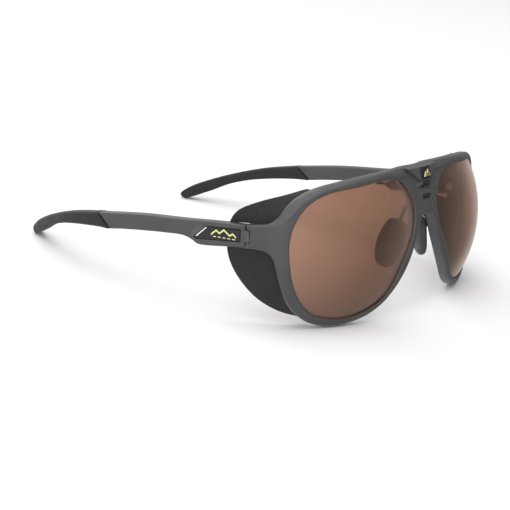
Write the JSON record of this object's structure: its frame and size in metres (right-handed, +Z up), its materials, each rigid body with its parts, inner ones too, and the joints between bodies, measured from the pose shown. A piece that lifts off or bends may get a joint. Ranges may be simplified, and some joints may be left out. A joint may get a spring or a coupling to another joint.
{
  "type": "glacier glasses",
  "caption": "Wrapped glacier glasses with tinted lenses, dark side shields, bendable nose pads and folding temples with soft tips.",
  "frame": {"origin": "middle of the bounding box on the surface that the pair rests on, open", "axes": "+Y from the lenses back along the temples, +Z up from the table, +X towards the wearer's left"},
  "size_m": [0.1358, 0.1526, 0.0537],
  "materials": {
    "frame": "matte moulded nylon",
    "lens": "copper brown tint with a light mirror coat",
    "shield": "soft matte elastomer",
    "rubber": "fine matte rubber",
    "inlay": "satin black",
    "steel": "fine brushed",
    "brass": "satin"
  },
  "bodies": {
    "front": {"front_frame": "frame", "bridge_badge": "inlay", "badge_peak": "brass", "lens_right": "lens", "side_shield_right": "shield", "shield_stud_right": "steel", "hinge_screw_right": "steel", "hinge_nut_right": "brass", "lens_left": "lens", "side_shield_left": "shield", "shield_stud_left": "steel", "hinge_screw_left": "steel", "hinge_nut_left": "brass"},
    "temple_arm_right": {"temple_right": "frame", "temple_inlay_right": "inlay", "temple_core_right": "steel", "temple_tip_right": "rubber"},
    "temple_arm_left": {"temple_left": "frame", "temple_inlay_left": "inlay", "temple_core_left": "steel", "temple_tip_left": "rubber"},
    "nose_rest_right": {"nose_arm_right": "steel", "nose_pad_right": "rubber"},
    "nose_rest_left": {"nose_arm_left": "steel", "nose_pad_left": "rubber"}
  },
  "joints": [
    {"name": "temple_right_fold", "type": "hinge", "parent": "front", "child": "temple_arm_right", "pos_m": [-0.0646, -0.04388, 0.03152], "axis": [0, -0.1097, -0.994], "range_deg": [0, 72]},
    {"name": "temple_left_fold", "type": "hinge", "parent": "front", "child": "temple_arm_left", "pos_m": [0.0646, -0.04388, 0.03152], "axis": [0, 0.1097, 0.994], "range_deg": [0, 82]},
    {"name": "nose_pad_right_bend", "type": "hinge", "parent": "front", "child": "nose_rest_right", "pos_m": [-0.0051, -0.06803, 0.03877], "axis": [0, 0.994, -0.1097], "range_deg": [-8, 8]},
    {"name": "nose_pad_left_bend", "type": "hinge", "parent": "front", "child": "nose_rest_left", "pos_m": [0.0051, -0.06803, 0.03877], "axis": [0, 0.994, -0.1097], "range_deg": [-8, 8]}
  ]
}
